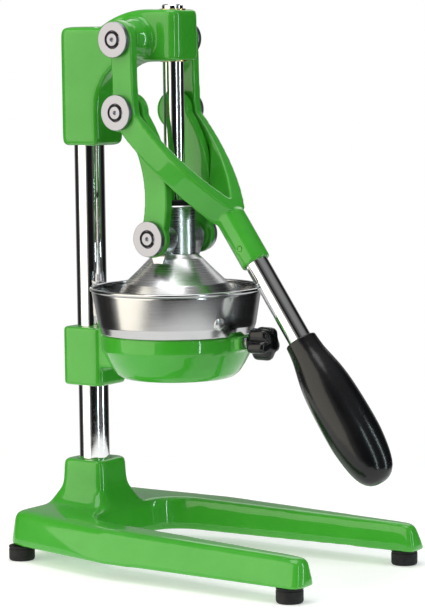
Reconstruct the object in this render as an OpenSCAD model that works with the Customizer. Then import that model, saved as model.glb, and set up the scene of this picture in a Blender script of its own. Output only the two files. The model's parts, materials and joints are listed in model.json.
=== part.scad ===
// Hand lever citrus press: a U-shaped base carries one column, the column carries a
// bowl support and a head, and a lever yoke with two links drives a press bell down
// into the bowl. +Z is up, -Y is the side where the user stands, X runs side to side.

/* [Overall] */
// Height of the underside of the head's front boss above the ground
head_z = 409; // [380:1:450]
// Distance from the column's axis to the ram's axis
reach = 88; // [84:1:106]
// Height of the head casting's front boss
head_boss_h = 42.6; // [38:0.2:52]

/* [Base] */
// Height of the rubber feet
foot_h = 12; // [8:0.5:20]
// Radius of the rubber feet
foot_r = 10.7; // [8:0.1:12]
// Overall width of the base where it is widest
base_w = 194; // [176:1:236]
// Width across the rear end of the base
base_rear_w = 156; // [140:1:170]
// How far the legs reach forward of the ram's axis
leg_reach = 181; // [150:1:220]
// How far the base reaches behind the column's axis
base_tail = 36; // [32:1:46]
// Width of a leg at its front tip
leg_tip_w = 25; // [24:0.5:32]
// Width between the legs at the rear of the gap
gap_rear_w = 112; // [92:1:116]
// Height of the base casting at the rear, from its underside
base_rear_h = 29; // [24:0.5:36]
// Height of the base casting at the front tips, from its underside
base_tip_h = 23; // [19:0.5:30]
// Width of the square boss that holds the column
boss_w = 40; // [38:0.5:48]
// Height of the column boss above the ground
boss_z = 78.7; // [66:0.5:96]
// Wall of the base casting around its hollow underside
base_wall = 5.5; // [4:0.5:7]

/* [Column] */
// Diameter of the chromed column
column_d = 25; // [20:0.5:30]
// How deep the column stands in the base boss
column_seat = 42; // [34:1:50]
// How deep the column stands in the head casting
column_head_seat = 78; // [50:1:90]
// Diameter of the bolt that holds the column from below
column_bolt_d = 10; // [8:1:12]

/* [Head] */
// Width of the square housings on the column
housing_w = 39; // [37:0.5:46]
// Length of the head's column housing, front to back
housing_l = 38.5; // [38:0.5:48]
// How far the column's axis lies behind the middle of the housing
housing_shift = 3; // [0:0.5:4]
// How far the housing hangs below the front boss
housing_drop = 69; // [56:1:84]
// How far the housing's top lies below the front boss's top
housing_step = 13.5; // [8:0.5:20]
// Width of the head's arm and front boss
head_arm_w = 38; // [34:0.5:40]
// How far the front boss reaches forward of the ram's axis
head_nose = 15; // [13:0.5:20]
// Radius of the arch under the head
arch_r = 36; // [24:1:40]
// Radius of the arm's top curve down to the housing
crown_r = 88; // [70:1:110]

/* [Bowl support] */
// Outer radius of the support ring
ring_r = 62.5; // [52:0.5:66]
// Wall of the support ring
ring_wall = 4; // [3:0.5:5]
// Height of the support ring's upright band
ring_band_h = 13.5; // [12:0.5:20]
// Height of the whole support ring
ring_h = 37; // [32:0.5:44]
// Radius of the support ring's open bottom
ring_hole_r = 30; // [24:0.5:38]
// Height of the clamp on the column
clamp_h = 49; // [44:1:60]
// Length of the clamp, front to back
clamp_l = 39.5; // [39:0.5:46]

/* [Bowl] */
// Outer radius of the bowl at its rim
bowl_r = 69.5; // [66:0.5:84]
// Height of the bowl above the support ring
bowl_h = 36.5; // [32:0.5:50]
// Sheet thickness of the bowl
bowl_t = 1.2; // [1:0.1:2]
// Radius of the rolled rim's bead
rim_bead_r = 2; // [1.5:0.1:3]
// Radius of the juice spout
spout_r = 15; // [10:0.5:20]
// How far the spout reaches below the support ring
spout_drop = 2.5; // [2:0.5:12]
// Radius of the reamer cone's foot
reamer_r = 36; // [28:0.5:40]
// Height of the reamer cone
reamer_h = 38; // [30:0.5:42]
// Thickness of the strainer plate
strainer_t = 1.5; // [1:0.1:2.5]

/* [Ram] */
// Diameter of the ram's guide rod
rod_d = 17; // [13:0.5:20]
// How far the rod stands above the head at rest
rod_proud = 3.5; // [2:0.5:8]
// Outer radius of the press bell's sleeve
sleeve_r = 16.5; // [14:0.5:19]
// Height of the sleeve's top above the ear pins
sleeve_up = 25.6; // [22:0.2:31]
// Outer radius of the press bell at its mouth
bell_r = 54; // [45:0.5:60]
// How far the bell's mouth lies below the ear pins
bell_drop = 71.7; // [60:0.5:86]
// Wall of the press bell
bell_t = 3; // [2:0.25:4]
// Half width of the bell's ears, front to back
ear_half = 12; // [10:0.5:14]
// Height of the rubber bumper ring
bumper_h = 4; // [3:0.5:6]

/* [Lever] */
// Distance of the lever's pivot behind the ram's axis
pivot_back = 22.7; // [20:0.1:24]
// Height of the lever's pivot above the underside of the front boss
pivot_up = 18.3; // [16:0.1:22]
// Distance from the lever's pivot to the link pins
crank = 58.2; // [50:0.1:66]
// Angle of the crank forward of straight down, at rest
crank_lean = 1.6; // [0:0.1:6]
// Half of the yoke's outer width
yoke_half = 46.5; // [45:0.5:52]
// Thickness of each yoke arm
yoke_t = 9; // [8:0.5:10]
// Width of each yoke arm, seen from the side
yoke_w = 20.5; // [18:0.5:24]
// Radius of the eyes at the pivots
eye_r = 15.5; // [14:0.1:17]
// Height of the socket's mouth above the ground
socket_mouth_z = 249; // [240:1:262]
// Angle forward of straight down from the link pins to the socket's mouth, at rest
yoke_lean = 40; // [36:0.5:44]
// Angle of the handle forward of straight down, at rest
handle_lean = 34.8; // [32:0.1:38]
// Outer radius of the handle socket
socket_r = 12.2; // [11.5:0.1:15]
// Length of the handle socket
socket_l = 44; // [38:1:54]
// Diameter of the handle tube
tube_d = 19; // [16:0.5:20]
// Bare length of the handle tube between socket and grip
tube_l = 73; // [64:1:100]
// Length of the grip
grip_l = 130; // [108:1:160]
// Largest radius of the grip
grip_r = 21.3; // [18:0.1:26]
// Radius of the grip's neck
grip_neck_r = 13; // [12:0.5:15]
// Travel of the lever from rest to raised, in degrees
lever_travel = 140; // [100:1:144]

/* [Links] */
// Distance between a link's two pins
link_l = 103.6; // [98:0.1:112]
// Width of a link, seen from the side
link_w = 22; // [18:0.5:25]
// How far a link bows forward of its pins
link_bow = 14; // [8:0.5:18]
// Distance of a link's inner face from the middle of the press
link_in = 25.4; // [25.4:0.1:26]
// Thickness of a link
link_t = 8.8; // [7:0.1:9]
// Radius of all pivot pins
pin_r = 5; // [4:0.25:5.5]
// Outer radius of the pivot washers
washer_r = 14.3; // [12:0.1:16]
// Thickness of the pivot washers
washer_t = 4.4; // [3:0.1:5]

/* [Clamp knob] */
// Radius of the clamp knob over its lobes
knob_r = 14; // [12:0.5:15]
// Number of the clamp knob's lobes
knob_lobes = 5; // [4:1:7]
// Length of the clamp knob
knob_l = 23; // [20:0.5:24]
// Diameter of the clamp screw
screw_d = 8; // [6:0.5:9]
// How far the clamp screw backs off
screw_travel = 3; // [2:0.5:3]

/* [Fits] */
// Running clearance between a pin and its hole, on the radius
run_fit = 0.05; // [0.02:0.01:0.08]
// Clearance between pieces that are held together, on the radius
seat_fit = 0.02; // [0.01:0.01:0.05]
// Gap between faces that slide past each other
side_gap = 0.4; // [0.3:0.05:0.5]

/* [Hidden] */
$fn = 64;
SOFT = 32; // facets on the children of a hull
EPS = 0.01;
BIG = 400;

// levels of the linkage
pivot_z = head_z + pivot_up;
crank_y = pivot_back - crank * sin(crank_lean);
crank_z = pivot_z - crank * cos(crank_lean);
ear_z = crank_z - sqrt(pow(link_l, 2) - pow(crank_y, 2));
link_lean = asin(crank_y / link_l);

// levels of the bell, the strainer and the bowl, from the bottom of the stroke
bell_z = ear_z - bell_drop;
press_gap = 3.5;
plate_z = bell_z - press_gap - strainer_t;
ring_z = plate_z - bowl_t;
rim_z = ring_z + bowl_h;
sleeve_z = ear_z + sleeve_up;
cone_z = ear_z - 14.5;

// levels of the castings
under_z = foot_h;
head_top_z = head_z + head_boss_h;
housing_z = head_z - housing_drop;
housing_top_z = head_top_z - housing_step;
housing_y = reach - housing_shift;
clamp_z = ring_z - clamp_h;
clamp_y = reach - housing_shift / 2;
boss_corner = 6;
tail_y = reach + base_tail;

// pieces across the press, from the middle outwards
ear_face = link_in - 1.1;
boss_face = yoke_half - yoke_t - side_gap;
arm_in = yoke_half - yoke_t;
link_out = link_in + link_t;
clip_t = 1;
clip_r = pin_r + 1.6;
clip_recess = clip_t + 0.3;
clip_seat_r = clip_r + 0.6;
groove_d = 0.8;
pin_proud = 0.6;
bush_t = 1.5;

// handle
mouth_y = crank_y - (crank_z - socket_mouth_z) * tan(yoke_lean);
socket_top_y = mouth_y + socket_l * sin(handle_lean);
socket_top_z = socket_mouth_z + socket_l * cos(handle_lean);
tube_seat = socket_l - 8;
grip_at = tube_l;
grip_cap_r = 17.5;
tube_wall = 2;
grip_seat = 90;

// clamp screw
screw_r = screw_d / 2;
screw_z = ring_z - 5.5;
lug_out = ring_r + 6.5;
lug_w = 18;
lug_h = 12;
lug_l = 12;
knob_gap = screw_travel + 1.4;
pad_t = 2;
pad_r = 5;

// middle of the press, front to back, from its foremost and rearmost points
grip_end_y = mouth_y - (grip_at + grip_l - grip_cap_r) * sin(handle_lean) - grip_cap_r;
ram_y = -(grip_end_y + tail_y) / 2;

// ---- shared shapes ----

// everything is drawn about the ram's axis, then set over the middle of its footprint
module from_ram() { translate([0, ram_y, 0]) children(); }

module green() { color([0.29, 0.65, 0.24]) from_ram() children(); }
module chrome() { color([0.86, 0.87, 0.89]) from_ram() children(); }
module steel() { color([0.72, 0.73, 0.75]) from_ram() children(); }
module black() { color([0.07, 0.07, 0.07]) from_ram() children(); }
module brass() { color([0.78, 0.62, 0.32]) from_ram() children(); }

// a shape drawn about +Z, laid along X through a pivot
module along_x(x, y, z) { translate([x, y, z]) rotate([0, 90, 0]) children(); }

// a shape drawn about +Z, laid along -Y
module along_front(x, y, z) { translate([x, y, z]) rotate([90, 0, 0]) children(); }

// a shape drawn about +Z, laid along the handle, starting at the socket's mouth
module along_handle() {
    translate([0, mouth_y, socket_mouth_z]) rotate([180 - handle_lean, 0, 0]) children();
}

// a rod between two radii, along +Z
module ring(r_out, r_in, h) {
    difference() {
        cylinder(r = r_out, h = h);
        translate([0, 0, -1]) cylinder(r = r_in, h = h + 2);
    }
}

module rounded_square(w, l, r) {
    square([w - 2 * r, l], center = true);
    square([w, l - 2 * r], center = true);
    for (x = [-1, 1], y = [-1, 1])
        translate([x * (w / 2 - r), y * (l / 2 - r)]) circle(r);
}

// a side view, with x as the depth and y as the height, given a width across the press
module side_view(half) {
    translate([-half, 0, 0]) rotate([90, 0, 90]) linear_extrude(2 * half) children();
}

// a front view, with x across and y as the height, swept from front to back
module front_view() {
    translate([0, BIG / 2, 0]) rotate([90, 0, 0]) linear_extrude(BIG) children();
}

// the stretch of arm between two points of a side view
module bar(a, b, w) {
    run = norm(b - a);
    translate(a) rotate(atan2(b[1] - a[1], b[0] - a[0]))
        translate([0, -w / 2]) square([run, w]);
}

// ---- base ----

rear_post_r = 15;
tip_post_r = 8.5;
edge_r = 6;
wide_y = 10;
foot_inset = 13;
front_foot = [base_w / 2 - 1 - leg_tip_w / 2, -(leg_reach - 16)];
rear_foot = [base_rear_w / 2 - 9, tail_y - 12];
FEET = [
    [-rear_foot[0], rear_foot[1]], [rear_foot[0], rear_foot[1]],
    [-front_foot[0], front_foot[1]], [front_foot[0], front_foot[1]]
];
foot_screw_r = 2.5;
foot_screw_l = 14;
foot_dish = 4;
slope = 3.5;

module base_block() {
    hull() for (s = [-1, 1]) {
        rear_x = base_rear_w / 2 - rear_post_r;
        wide_x = base_w / 2 - tip_post_r;
        tip_x = base_w / 2 - tip_post_r - 1;
        translate([s * rear_x, tail_y - rear_post_r, under_z])
            cylinder(r = rear_post_r, h = EPS, $fn = SOFT);
        translate([s * rear_x, tail_y - rear_post_r, under_z + base_rear_h - edge_r])
            round_top(rear_post_r - slope);
        translate([s * wide_x, wide_y, under_z])
            cylinder(r = tip_post_r, h = EPS, $fn = SOFT);
        translate([s * (wide_x - 2 * slope), wide_y, under_z + base_rear_h - edge_r - 2])
            round_top(tip_post_r);
        translate([s * tip_x, -leg_reach + tip_post_r, under_z])
            cylinder(r = tip_post_r, h = EPS, $fn = SOFT);
        translate([s * (tip_x - 2 * slope), -leg_reach + tip_post_r + slope,
                   under_z + base_tip_h - edge_r])
            round_top(tip_post_r);
    }
}

// a disc with a quarter-round top edge
module round_top(r) {
    inner = max(r - edge_r, 0.5);
    cylinder(r = r, h = EPS, $fn = SOFT);
    cylinder(r = inner + (r - inner) * 0.92, h = edge_r * 0.4, $fn = SOFT);
    cylinder(r = inner + (r - inner) * 0.62, h = edge_r * 0.8, $fn = SOFT);
    cylinder(r = inner, h = edge_r, $fn = SOFT);
}

// the space between the legs, wider towards the top as the walls lean back
module leg_gap() {
    gap_corner = 28;
    rear_y = 52 + reach - 88;
    front_x = base_w / 2 - 1 - leg_tip_w;
    hull() for (s = [-1, 1]) {
        translate([s * (gap_rear_w / 2 - gap_corner), rear_y - gap_corner, under_z - 1])
            cylinder(r1 = gap_corner, r2 = gap_corner + slope + 1.5, h = base_rear_h + 14);
        translate([s * (front_x - 4), -leg_reach - 6, under_z - 1])
            cylinder(r1 = 4, r2 = 4 + slope + 1.5, h = base_rear_h + 14);
    }
}

// the hollow under one leg
module leg_hollow(s) {
    hull() {
        for (y = [20, -120])
            translate([s * (base_w / 2 - 19), y, under_z - 1])
                cylinder(r1 = 8, r2 = 6, h = base_tip_h - base_wall + 1, $fn = SOFT);
    }
}

module base() {
    boss_flare = 4;
    green() difference() {
        union() {
            difference() {
                base_block();
                leg_gap();
                leg_hollow(-1);
                leg_hollow(1);
            }
            // the column boss with its spreading foot
            hull() {
                translate([0, reach, boss_z - 1])
                    linear_extrude(1) rounded_square(boss_w, boss_w, boss_corner);
                translate([0, reach, under_z + base_rear_h])
                    linear_extrude(EPS)
                        rounded_square(boss_w + boss_flare, boss_w + boss_flare, boss_corner);
            }
            hull() {
                translate([0, reach, under_z + base_rear_h + 14])
                    linear_extrude(EPS) rounded_square(boss_w + 3, boss_w + 3, boss_corner);
                translate([0, reach, under_z + base_rear_h + 5])
                    linear_extrude(EPS) rounded_square(boss_w + 8, boss_w + 8, boss_corner + 2);
                translate([0, reach, under_z + base_rear_h - 3])
                    linear_extrude(EPS) rounded_square(boss_w + 26, boss_w + 26, boss_corner + 8);
            }
        }
        translate([0, reach, boss_z - column_seat])
            cylinder(d = column_d + 2 * seat_fit, h = column_seat + 1);
        translate([0, reach, 0]) cylinder(d = column_bolt_d + 1, h = boss_z);
        translate([0, reach, under_z - 1]) cylinder(r = column_bolt_d + 1.5, h = bolt_recess + 1);
        for (f = FEET)
            translate([f[0], f[1], under_z - 1])
                cylinder(r = foot_screw_r + seat_fit, h = foot_screw_l - foot_dish + 1);
    }
}

bolt_recess = 12;
washer_plate_t = 2.5;

module foot(i) {
    black() translate([FEET[i][0], FEET[i][1], 0]) difference() {
        union() {
            cylinder(r1 = foot_r - 0.8, r2 = foot_r, h = 1.2);
            translate([0, 0, 1.2]) cylinder(r = foot_r, h = foot_h - 1.2);
        }
        translate([0, 0, -1]) cylinder(r = foot_screw_r + seat_fit, h = foot_h + 2);
        translate([0, 0, -1]) cylinder(r = 2 * foot_screw_r + 0.5, h = foot_dish + 1);
    }
}
module foot_rear_left() { foot(0); }
module foot_rear_right() { foot(1); }
module foot_front_left() { foot(2); }
module foot_front_right() { foot(3); }

module foot_screws() {
    head_h = 2.2;
    steel() for (f = FEET) translate([f[0], f[1], foot_dish - head_h]) {
        cylinder(r = 2 * foot_screw_r, h = head_h);
        cylinder(r = foot_screw_r, h = head_h + foot_h - 2 * foot_dish + foot_screw_l - 0.5);
    }
}

// ---- column ----

column_z0 = boss_z - column_seat;
column_z1 = housing_z + column_head_seat;
column_bolt_hold = 26;

module column() {
    chrome() translate([0, reach, 0]) difference() {
        translate([0, 0, column_z0]) cylinder(d = column_d, h = column_z1 - column_z0);
        translate([0, 0, column_z0 - 1])
            cylinder(d = column_bolt_d + 2 * seat_fit, h = column_bolt_hold + 1);
    }
}

module column_washer() {
    steel() translate([0, reach, under_z + bolt_recess - washer_plate_t])
        ring(column_bolt_d, column_bolt_d / 2 + seat_fit, washer_plate_t);
}

module column_bolt() {
    head_h = 6.5;
    top = under_z + bolt_recess - washer_plate_t;
    steel() translate([0, reach, top - head_h]) {
        cylinder(r = column_bolt_d * 0.8, h = head_h, $fn = 6);
        cylinder(d = column_bolt_d, h = column_z0 + column_bolt_hold - 2 - top + head_h);
    }
}

// ---- head ----

pivot_boss_r = 15;
pivot_collar_r = 17;
guide_bush_t = 2.2;
guide_bush_l = 9;
head_screw_r = 4;
arm_front_r = 9;

// the head seen from the side
module head_side() {
    rear = housing_y + housing_l / 2;
    front = housing_y - housing_l / 2;
    top_r = 6;
    low_r = 4;
    difference() {
        union() {
            // the housing, rounded at the top rear and along its lower edges
            translate([front, housing_z + low_r])
                square([housing_l, housing_top_z - housing_z - low_r - top_r]);
            translate([front + low_r, housing_z]) square([housing_l - 2 * low_r, low_r + EPS]);
            translate([front, housing_top_z - top_r - EPS]) square([housing_l - top_r, top_r + EPS]);
            translate([rear - top_r, housing_top_z - top_r]) circle(top_r);
            for (y = [front + low_r, rear - low_r]) translate([y, housing_z + low_r]) circle(low_r);
            // the arm's upright web and its crowned top
            intersection() {
                translate([-head_nose, head_z]) square([front + head_nose + 4, head_boss_h]);
                union() {
                    translate([15, head_top_z - crown_r]) circle(crown_r, $fn = 128);
                    translate([-head_nose, head_z]) square([head_nose + 15, head_boss_h]);
                }
            }
            translate([front - arch_r, head_z - arch_r]) square([arch_r + 4, arch_r + 4]);
        }
        translate([front - arch_r, head_z - arch_r]) circle(arch_r);
        translate([front - 2 * arch_r, head_z - 2 * arch_r]) square([arch_r, 2 * arch_r]);
        translate([front - 2 * arch_r, head_z - 2 * arch_r]) square([2 * arch_r, arch_r]);
    }
    translate([front, housing_z + low_r]) square([housing_l, arch_r + housing_drop / 3]);
}

// the head seen from above
module head_plan() {
    translate([0, housing_y]) rounded_square(housing_w, housing_l, boss_corner);
    nose_l = head_nose + housing_y;
    translate([0, housing_y - nose_l / 2])
        rounded_square(head_arm_w, nose_l, arm_front_r);
}

// the head seen from the front: straight sides and a softly rounded top
module head_front() {
    h = head_top_z - housing_z;
    translate([0, housing_z + h / 2]) rounded_square(housing_w + 1, h, 4);
}

module head() {
    green() difference() {
        union() {
            intersection() {
                side_view(housing_w) head_side();
                linear_extrude(head_top_z + 10) head_plan();
                front_view() head_front();
            }
            // the stepped boss on each side, which the yoke turns against
            for (s = [-1, 1]) along_x(0, pivot_back, pivot_z) mirror([0, 0, s < 0 ? 1 : 0]) {
                cylinder(r = pivot_boss_r, h = boss_face);
                cylinder(r = pivot_collar_r, h = boss_face - 8);
                translate([0, 0, boss_face - 8]) cylinder(r1 = pivot_collar_r, r2 = pivot_boss_r, h = 1);
            }
        }
        translate([0, reach, housing_z - 1])
            cylinder(d = column_d + 2 * seat_fit, h = column_head_seat + 1);
        translate([0, 0, head_z - 1]) cylinder(d = rod_d + 2, h = head_boss_h + 2);
        translate([0, 0, head_z - 1])
            cylinder(r = rod_d / 2 + guide_bush_t + seat_fit, h = guide_bush_l + 1);
        translate([0, 0, head_top_z - guide_bush_l])
            cylinder(r = rod_d / 2 + guide_bush_t + seat_fit, h = guide_bush_l + 1);
        along_x(-BIG / 2, pivot_back, pivot_z) cylinder(r = pin_r + seat_fit, h = BIG);
        for (z = HEAD_SCREWS) along_x(0, reach, z) cylinder(r = head_screw_r + seat_fit, h = BIG);
    }
}

HEAD_SCREWS = [housing_z + 18, housing_z + 50];

// socket set screws that hold a casting on the column, in its right-hand wall
module set_screws(levels) {
    tip = column_d / 2 + side_gap;
    hex_depth = 3;
    steel() for (z = levels) along_x(tip, reach, z) difference() {
        cylinder(r = head_screw_r, h = housing_w / 2 - 1 - tip);
        translate([0, 0, housing_w / 2 - 1 - tip - hex_depth])
            cylinder(r = head_screw_r / 2, h = hex_depth + 1, $fn = 6);
    }
}

module head_screws() { set_screws(HEAD_SCREWS); }

module guide_bush(z) {
    brass() translate([0, 0, z]) ring(rod_d / 2 + guide_bush_t, rod_d / 2 + run_fit, guide_bush_l);
}
module guide_bush_upper() { guide_bush(head_top_z - guide_bush_l); }
module guide_bush_lower() { guide_bush(head_z); }

// ---- pivots ----

// a pin end at distance x: the pin, its clip groove and its centre dimple
module pin_end(x0, x1, r) {
    groove = x1 - pin_proud - clip_recess;
    difference() {
        translate([0, 0, x0]) cylinder(r = r, h = x1 - x0);
        translate([0, 0, groove]) ring(r + 1, r - groove_d, clip_t + side_gap / 2);
        translate([0, 0, x1 - 0.8]) cylinder(r1 = 0.6, r2 = 1.6, h = 0.81);
    }
}

// a washer whose outer face is at x, with a recess for the clip
module washer_at(x, r) {
    difference() {
        translate([0, 0, x - washer_t]) cylinder(r = washer_r, h = washer_t);
        translate([0, 0, x - washer_t - 1]) cylinder(r = r + seat_fit, h = washer_t + 2);
        translate([0, 0, x - clip_recess]) cylinder(r = clip_seat_r, h = clip_recess + 1);
    }
}

// a retaining clip: a ring open on one side, with three lugs into the groove
module clip_at(x, r) {
    translate([0, 0, x - clip_recess + side_gap / 4]) linear_extrude(clip_t) difference() {
        circle(clip_r);
        circle(r - groove_d + seat_fit);
        translate([0, -clip_r]) square([2 * (r - groove_d) * 0.7, 2 * clip_r], center = true);
    }
}

pivot_face = yoke_half + side_gap / 2 + washer_t;
link_face = yoke_half + washer_t;
ear_bolt_face = link_out + washer_t;

module both_sides() {
    for (s = [-1, 1]) mirror([s < 0 ? 1 : 0, 0, 0]) children();
}

module pivot_pin() {
    chrome() both_sides() along_x(0, pivot_back, pivot_z) pin_end(0, pivot_face + pin_proud, pin_r);
}
module pivot_washers() {
    chrome() both_sides() along_x(0, pivot_back, pivot_z) washer_at(pivot_face, pin_r);
}
module pivot_clips() {
    steel() both_sides() along_x(0, pivot_back, pivot_z) clip_at(pivot_face, pin_r);
}

// ---- lever ----

// where the yoke's arms lie in a side view: pivot, link pins, then the socket
YOKE_PIVOT = [pivot_back, pivot_z];
YOKE_LINK = [crank_y, crank_z];
YOKE_SOCKET = [socket_top_y, socket_top_z];
YOKE_ELBOW = YOKE_LINK + [-4, -4];
yoke_arm_shift = 4.5;
socket_crown = 4;

module yoke_side() {
    translate(YOKE_PIVOT) circle(eye_r);
    translate(YOKE_LINK) circle(eye_r);
    bar(YOKE_PIVOT + [-yoke_arm_shift, 0], YOKE_LINK + [-yoke_arm_shift, 0], yoke_w);
    bar(YOKE_ELBOW, YOKE_SOCKET, yoke_w);
    translate(YOKE_ELBOW) circle(yoke_w / 2);
    translate(YOKE_SOCKET) circle(yoke_w / 2);
}

// the yoke across the press, seen square to its lower arms: straight beside the pins,
// then closing onto the socket on one long arc, with its top at the elbow
module yoke_bow(half, foot_half, drop) {
    rise = half - foot_half;
    bow_r = (drop * drop + rise * rise) / (2 * rise);
    translate([-half, 0]) square([2 * half, BIG]);
    intersection() {
        translate([half - bow_r, EPS]) circle(bow_r, $fn = 128);
        translate([-half + bow_r, EPS]) circle(bow_r, $fn = 128);
        translate([-half, -drop]) square([2 * half, drop + EPS]);
    }
}

module yoke() {
    arm_run = norm(YOKE_SOCKET - YOKE_ELBOW);
    arm_lean = atan2(YOKE_ELBOW[0] - YOKE_SOCKET[0], YOKE_ELBOW[1] - YOKE_SOCKET[1]);
    crotch = 12;
    green() difference() {
        union() {
            intersection() {
                side_view(yoke_half + 1) yoke_side();
                translate([0, YOKE_ELBOW[0], YOKE_ELBOW[1]]) rotate([-arm_lean, 0, 0])
                    front_view() difference() {
                        yoke_bow(yoke_half, socket_r - 1.5, arm_run);
                        yoke_bow(arm_in, 1, arm_run - crotch);
                    }
            }
            along_handle() {
                translate([0, 0, -socket_l]) cylinder(r = socket_r, h = socket_l);
                translate([0, 0, -socket_l - socket_crown])
                    cylinder(r1 = socket_r - socket_crown, r2 = socket_r, h = socket_crown);
            }
        }
        for (p = [YOKE_PIVOT, YOKE_LINK])
            along_x(-BIG / 2, p[0], p[1]) cylinder(r = pin_r + bush_t + seat_fit, h = BIG);
        along_handle() translate([0, 0, -tube_seat]) cylinder(d = tube_d + 2 * seat_fit, h = BIG);
        along_x(-BIG / 2, TUBE_PIN[0], TUBE_PIN[1]) cylinder(r = tube_pin_r + seat_fit, h = BIG);
        // room for the links, which pass between the lower arms
        link_on_pins() along_x(-link_out - side_gap, LINK_BOW[0], LINK_BOW[1])
            cylinder(r = link_bow_r + link_w / 2 + 1, h = 2 * (link_out + side_gap), $fn = 128);
    }
}

tube_pin_r = 2;
tube_pin_back = 14;
TUBE_PIN = [mouth_y + tube_pin_back * sin(handle_lean), socket_mouth_z + tube_pin_back * cos(handle_lean)];

// bearing bushes in the yoke's upper eyes, and plain sleeves in its lower eyes
module yoke_bushes() {
    brass() both_sides() {
        along_x(arm_in, pivot_back, pivot_z) ring(pin_r + bush_t, pin_r + run_fit, yoke_t);
        along_x(arm_in, crank_y, crank_z) ring(pin_r + bush_t, pin_r + seat_fit, yoke_t);
    }
}

module handle_tube() {
    chrome() along_handle() difference() {
        translate([0, 0, -tube_seat]) cylinder(d = tube_d, h = tube_seat + tube_l + grip_seat);
        translate([0, 0, -tube_seat - 1])
            cylinder(r = tube_d / 2 - tube_wall, h = tube_seat + tube_l + grip_seat + 2);
        translate([-BIG / 2, 0, -tube_pin_back]) rotate([0, 90, 0])
            cylinder(r = tube_pin_r + seat_fit, h = BIG);
    }
}

module tube_pin() {
    steel() along_x(-socket_r + 0.3, TUBE_PIN[0], TUBE_PIN[1])
        cylinder(r = tube_pin_r, h = 2 * socket_r - 0.6);
}

// grip radius at distance t from its neck: a smooth swell, then a slow fall to the cap
swell_l = grip_l * 0.6;
function swell(t) = grip_neck_r + (grip_r - grip_neck_r) * (1 - cos(180 * pow(t / swell_l, 0.85))) / 2;
function fall(t) = grip_r - (grip_r - grip_cap_r) * pow((t - swell_l) / (grip_l - grip_cap_r - swell_l), 2);

module handle_grip() {
    steps = 10;
    cap_t = grip_l - grip_cap_r;
    profile = concat(
        [[0, 0], [grip_neck_r - 1, 0]],
        [for (i = [0:steps]) [swell(max(i * swell_l / steps, 0.6)), max(i * swell_l / steps, 0.6)]],
        [for (i = [1:steps / 2]) let (t = swell_l + i * (cap_t - swell_l) * 2 / steps) [fall(t), t]],
        [for (a = [15:15:90]) [grip_cap_r * cos(a), cap_t + grip_cap_r * sin(a)]]
    );
    black() along_handle() translate([0, 0, grip_at]) difference() {
        rotate_extrude() polygon(profile);
        translate([0, 0, -1]) cylinder(d = tube_d + 2 * seat_fit, h = grip_seat + 1 + side_gap);
    }
}

// pins pressed into the yoke, with a collar that keeps each link off the arm
module link_pins() {
    collar_r = pin_r + 3.5;
    chrome() both_sides() along_x(0, crank_y, crank_z) {
        pin_end(link_in + 0.8, link_face + pin_proud, pin_r);
        translate([0, 0, link_out + side_gap]) cylinder(r = collar_r, h = arm_in - link_out - side_gap);
    }
}
module link_washers() {
    chrome() both_sides() along_x(0, crank_y, crank_z) washer_at(link_face, pin_r);
}
module link_clips() {
    steel() both_sides() along_x(0, crank_y, crank_z) clip_at(link_face, pin_r);
}

// ---- links ----

link_eye_r = 15.5;
link_step = 2.5;
link_bow_r = (pow(link_l / 2, 2) + pow(link_bow, 2)) / (2 * link_bow);
LINK_BOW = [link_bow_r - link_bow, -link_l / 2];

// a link in its own side view: pins at the origin and straight below, bowed to the front
module link_side(low_eye_r) {
    circle(link_eye_r);
    translate([0, -link_l]) circle(low_eye_r);
    intersection() {
        translate(LINK_BOW) difference() {
            circle(link_bow_r + link_w / 2, $fn = 128);
            circle(link_bow_r - link_w / 2, $fn = 128);
        }
        translate([-link_bow - link_w, -link_l]) square([link_bow + 2 * link_w, link_l]);
    }
}

module link_on_pins() {
    translate([0, crank_y, crank_z]) rotate([-link_lean, 0, 0]) children();
}

module link_body(s) {
    green() mirror([s < 0 ? 1 : 0, 0, 0]) link_on_pins() difference() {
        union() {
            translate([link_in + link_step, 0, 0]) rotate([90, 0, 90])
                linear_extrude(link_t - link_step) link_side(link_eye_r);
            // the lower eye is stepped on its inner face, which passes close over the bell
            translate([link_in, 0, 0]) rotate([90, 0, 90])
                linear_extrude(link_step + EPS) link_side(link_eye_r - link_step);
        }
        along_x(0, 0, 0) cylinder(r = pin_r + bush_t + seat_fit, h = BIG);
        along_x(0, 0, -link_l) cylinder(r = pin_r + seat_fit, h = BIG);
    }
}
module link_bush(s) {
    brass() mirror([s < 0 ? 1 : 0, 0, 0]) link_on_pins()
        along_x(link_in, 0, 0) ring(pin_r + bush_t, pin_r + run_fit, link_t);
}
module ear_bolt(s) {
    chrome() mirror([s < 0 ? 1 : 0, 0, 0])
        along_x(0, 0, ear_z) pin_end(link_in, ear_bolt_face + pin_proud, pin_r);
}
module ear_washer(s) {
    chrome() mirror([s < 0 ? 1 : 0, 0, 0]) along_x(0, 0, ear_z) washer_at(ear_bolt_face, pin_r);
}
module ear_clip(s) {
    steel() mirror([s < 0 ? 1 : 0, 0, 0]) along_x(0, 0, ear_z) clip_at(ear_bolt_face, pin_r);
}
module link_left() { link_body(-1); }
module link_right() { link_body(1); }
module link_bush_left() { link_bush(-1); }
module link_bush_right() { link_bush(1); }
module ear_bolt_left() { ear_bolt(-1); }
module ear_bolt_right() { ear_bolt(1); }
module ear_washer_left() { ear_washer(-1); }
module ear_washer_right() { ear_washer(1); }
module ear_clip_left() { ear_clip(-1); }
module ear_clip_right() { ear_clip(1); }

// ---- ram ----

rod_z0 = cone_z - 6;
rod_thread_r = 5;
nut_h = 8;
bell_ceiling = 4;

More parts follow.
